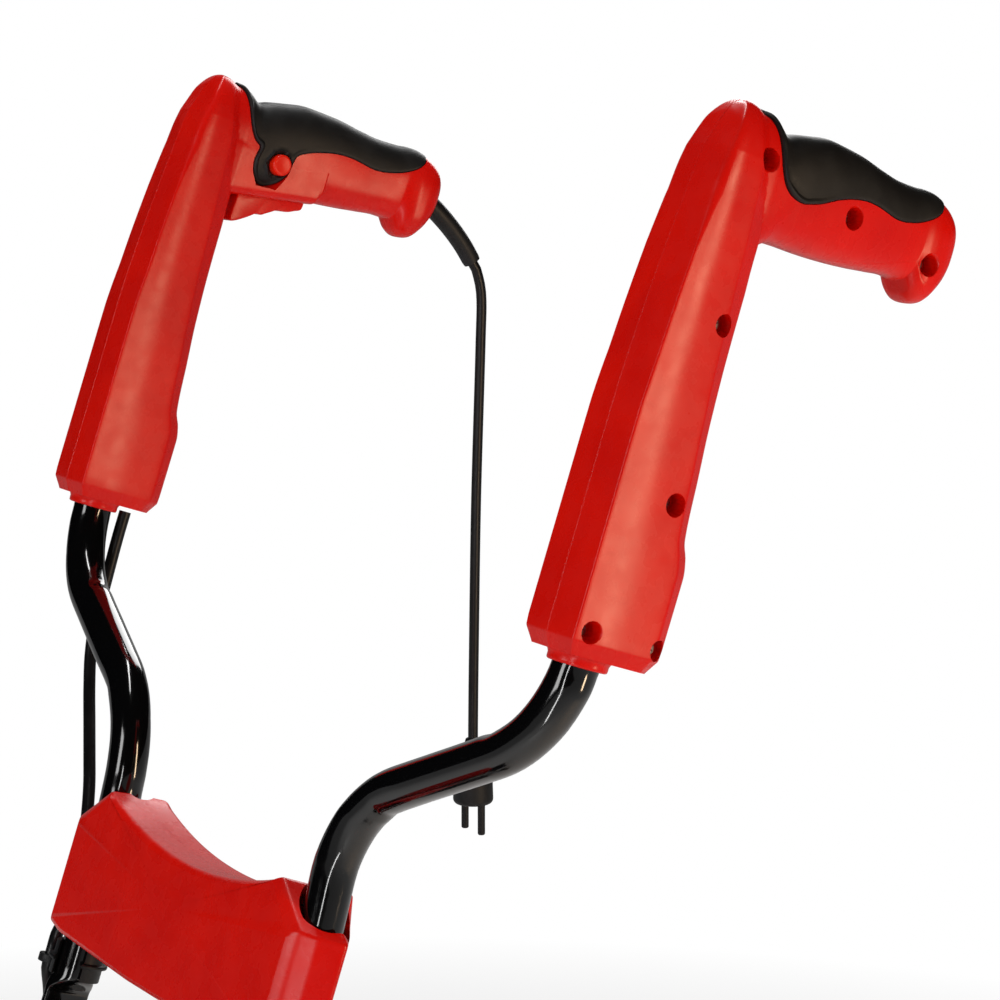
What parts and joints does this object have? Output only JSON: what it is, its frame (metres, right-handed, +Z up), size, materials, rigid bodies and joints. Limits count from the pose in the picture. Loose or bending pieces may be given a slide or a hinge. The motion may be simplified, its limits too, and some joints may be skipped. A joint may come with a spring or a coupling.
{
  "type": "electric garden tiller",
  "caption": "Walk-behind electric tiller: two handle arms on bent tubes over a fold joint, motor, worm gearbox, guarded tine stars and transport wheels.",
  "frame": {"origin": "on the ground, under the middle of the whole machine without its loose mains cord", "axes": "+Z up, the operator stands at +Y and pushes towards -Y, and the operator's right hand is on the -X side"},
  "size_m": [0.53, 0.7157, 1.0509],
  "materials": {
    "red_plastic": "satin, fine grain",
    "button_red": "smooth, bright",
    "soft_black": "soft touch, matte",
    "black_plastic": "textured",
    "cord_black": "smooth cord jacket",
    "black_paint": "gloss",
    "cast_metal": "die cast",
    "steel": "zinc plated",
    "dark_steel": "dark",
    "copper": "turned",
    "brass": "hobbed",
    "tyre_rubber": "matte"
  },
  "bodies": {
    "base": {"left_lower_tube": "black_paint", "right_lower_tube": "black_paint", "lower_cable_clip": "black_plastic", "motor_lead_bend": "cord_black", "motor_lead_lower": "cord_black", "yoke": "black_paint", "motor_base": "black_plastic", "cable_gland": "black_plastic", "motor_cover": "red_plastic", "stator": "dark_steel", "motor_top_bearing": "steel", "worm_end_bearing": "steel", "gearbox_left": "cast_metal", "gearbox_right": "cast_metal", "left_shaft_bearing": "steel", "right_shaft_bearing": "steel", "tine_guard": "black_paint", "left_wheel_bolt": "steel", "right_wheel_bolt": "steel"},
    "handle": {"left_arm_outer_shell": "red_plastic", "left_arm_inner_shell": "red_plastic", "right_arm_outer_shell": "red_plastic", "right_arm_inner_shell": "red_plastic", "left_grip_pad": "soft_black", "right_grip_pad": "soft_black", "trigger_pin": "steel", "switch_module": "black_plastic", "cord_strain_relief": "soft_black", "left_upper_tube": "black_paint", "right_upper_tube": "black_paint", "bridge_cover_front": "red_plastic", "bridge_cover_rear": "red_plastic", "left_fold_bolt": "steel", "right_fold_bolt": "steel", "motor_lead_upper": "cord_black", "upper_cable_clip": "black_plastic", "mains_cord": "cord_black", "mains_plug": "soft_black"},
    "trigger_body": {"trigger": "red_plastic"},
    "lock_off": {"lock_off_button": "button_red"},
    "left_knob": {"left_fold_knob": "black_plastic"},
    "right_knob": {"right_fold_knob": "black_plastic"},
    "rotor": {"rotor_core": "dark_steel", "worm_shaft": "steel", "commutator": "copper", "motor_fan": "black_plastic"},
    "tines": {"tine_shaft": "steel", "worm_wheel": "brass", "left_inner_tines": "dark_steel", "left_outer_tines": "dark_steel", "right_inner_tines": "dark_steel", "right_outer_tines": "dark_steel"},
    "wheel_swing": {"wheel_frame": "black_paint", "wheel_axle": "steel"},
    "left_wheel": {"left_wheel_rim": "red_plastic", "left_wheel_tyre": "tyre_rubber"},
    "right_wheel": {"right_wheel_rim": "red_plastic", "right_wheel_tyre": "tyre_rubber"},
    "clamp": {"wheel_clamp_knob": "black_plastic"}
  },
  "joints": [
    {"name": "handle_fold", "type": "hinge", "parent": "base", "child": "handle", "pos_m": [0, 0.00838, 0.545], "axis": [1, 0, 0], "range_deg": [0, 95], "deforming": ["motor_lead_bend"]},
    {"name": "trigger_pull", "type": "hinge", "parent": "handle", "child": "trigger_body", "pos_m": [-0.2411, 0.23537, 0.98231], "axis": [-1, 0, 0], "range_deg": [0, 8], "stiffness_Nm_per_rad": 1.2, "springref_deg": -6.88},
    {"name": "lock_off_press", "type": "slide", "parent": "handle", "child": "lock_off", "axis": [-1, 0, 0], "range_m": [0, 0.005], "stiffness_N_per_m": 350, "springref_m": -0.003},
    {"name": "left_knob_turn", "type": "hinge", "parent": "handle", "child": "left_knob", "pos_m": [0.095, 0.00838, 0.545], "axis": [1, 0, 0], "range_deg": [0, 360]},
    {"name": "right_knob_turn", "type": "hinge", "parent": "handle", "child": "right_knob", "pos_m": [-0.095, 0.00838, 0.545], "axis": [-1, 0, 0], "range_deg": [0, 360]},
    {"name": "rotor_spin", "type": "hinge", "parent": "base", "child": "rotor", "pos_m": [0, -0.21563, 0.22], "axis": [0, 0, 1], "continuous": true},
    {"name": "tine_spin", "type": "hinge", "parent": "base", "child": "tines", "pos_m": [0, -0.25362, 0.1], "axis": [1, 0, 0], "continuous": true},
    {"name": "wheel_frame_swing", "type": "hinge", "parent": "base", "child": "wheel_swing", "pos_m": [0, -0.13362, 0.236], "axis": [1, 0, 0], "range_deg": [0, 70]},
    {"name": "left_wheel_spin", "type": "hinge", "parent": "wheel_swing", "child": "left_wheel", "pos_m": [0.097, -0.02162, 0.07408], "axis": [1, 0, 0], "continuous": true},
    {"name": "right_wheel_spin", "type": "hinge", "parent": "wheel_swing", "child": "right_wheel", "pos_m": [-0.097, -0.02162, 0.07408], "axis": [1, 0, 0], "continuous": true},
    {"name": "clamp_knob_turn", "type": "hinge", "parent": "base", "child": "clamp", "pos_m": [0.082, -0.13362, 0.236], "axis": [1, 0, 0], "range_deg": [0, 360]}
  ],
  "couplings": [
    {"joint": "tine_spin", "follows": "rotor_spin", "ratio": -0.033333}
  ]
}
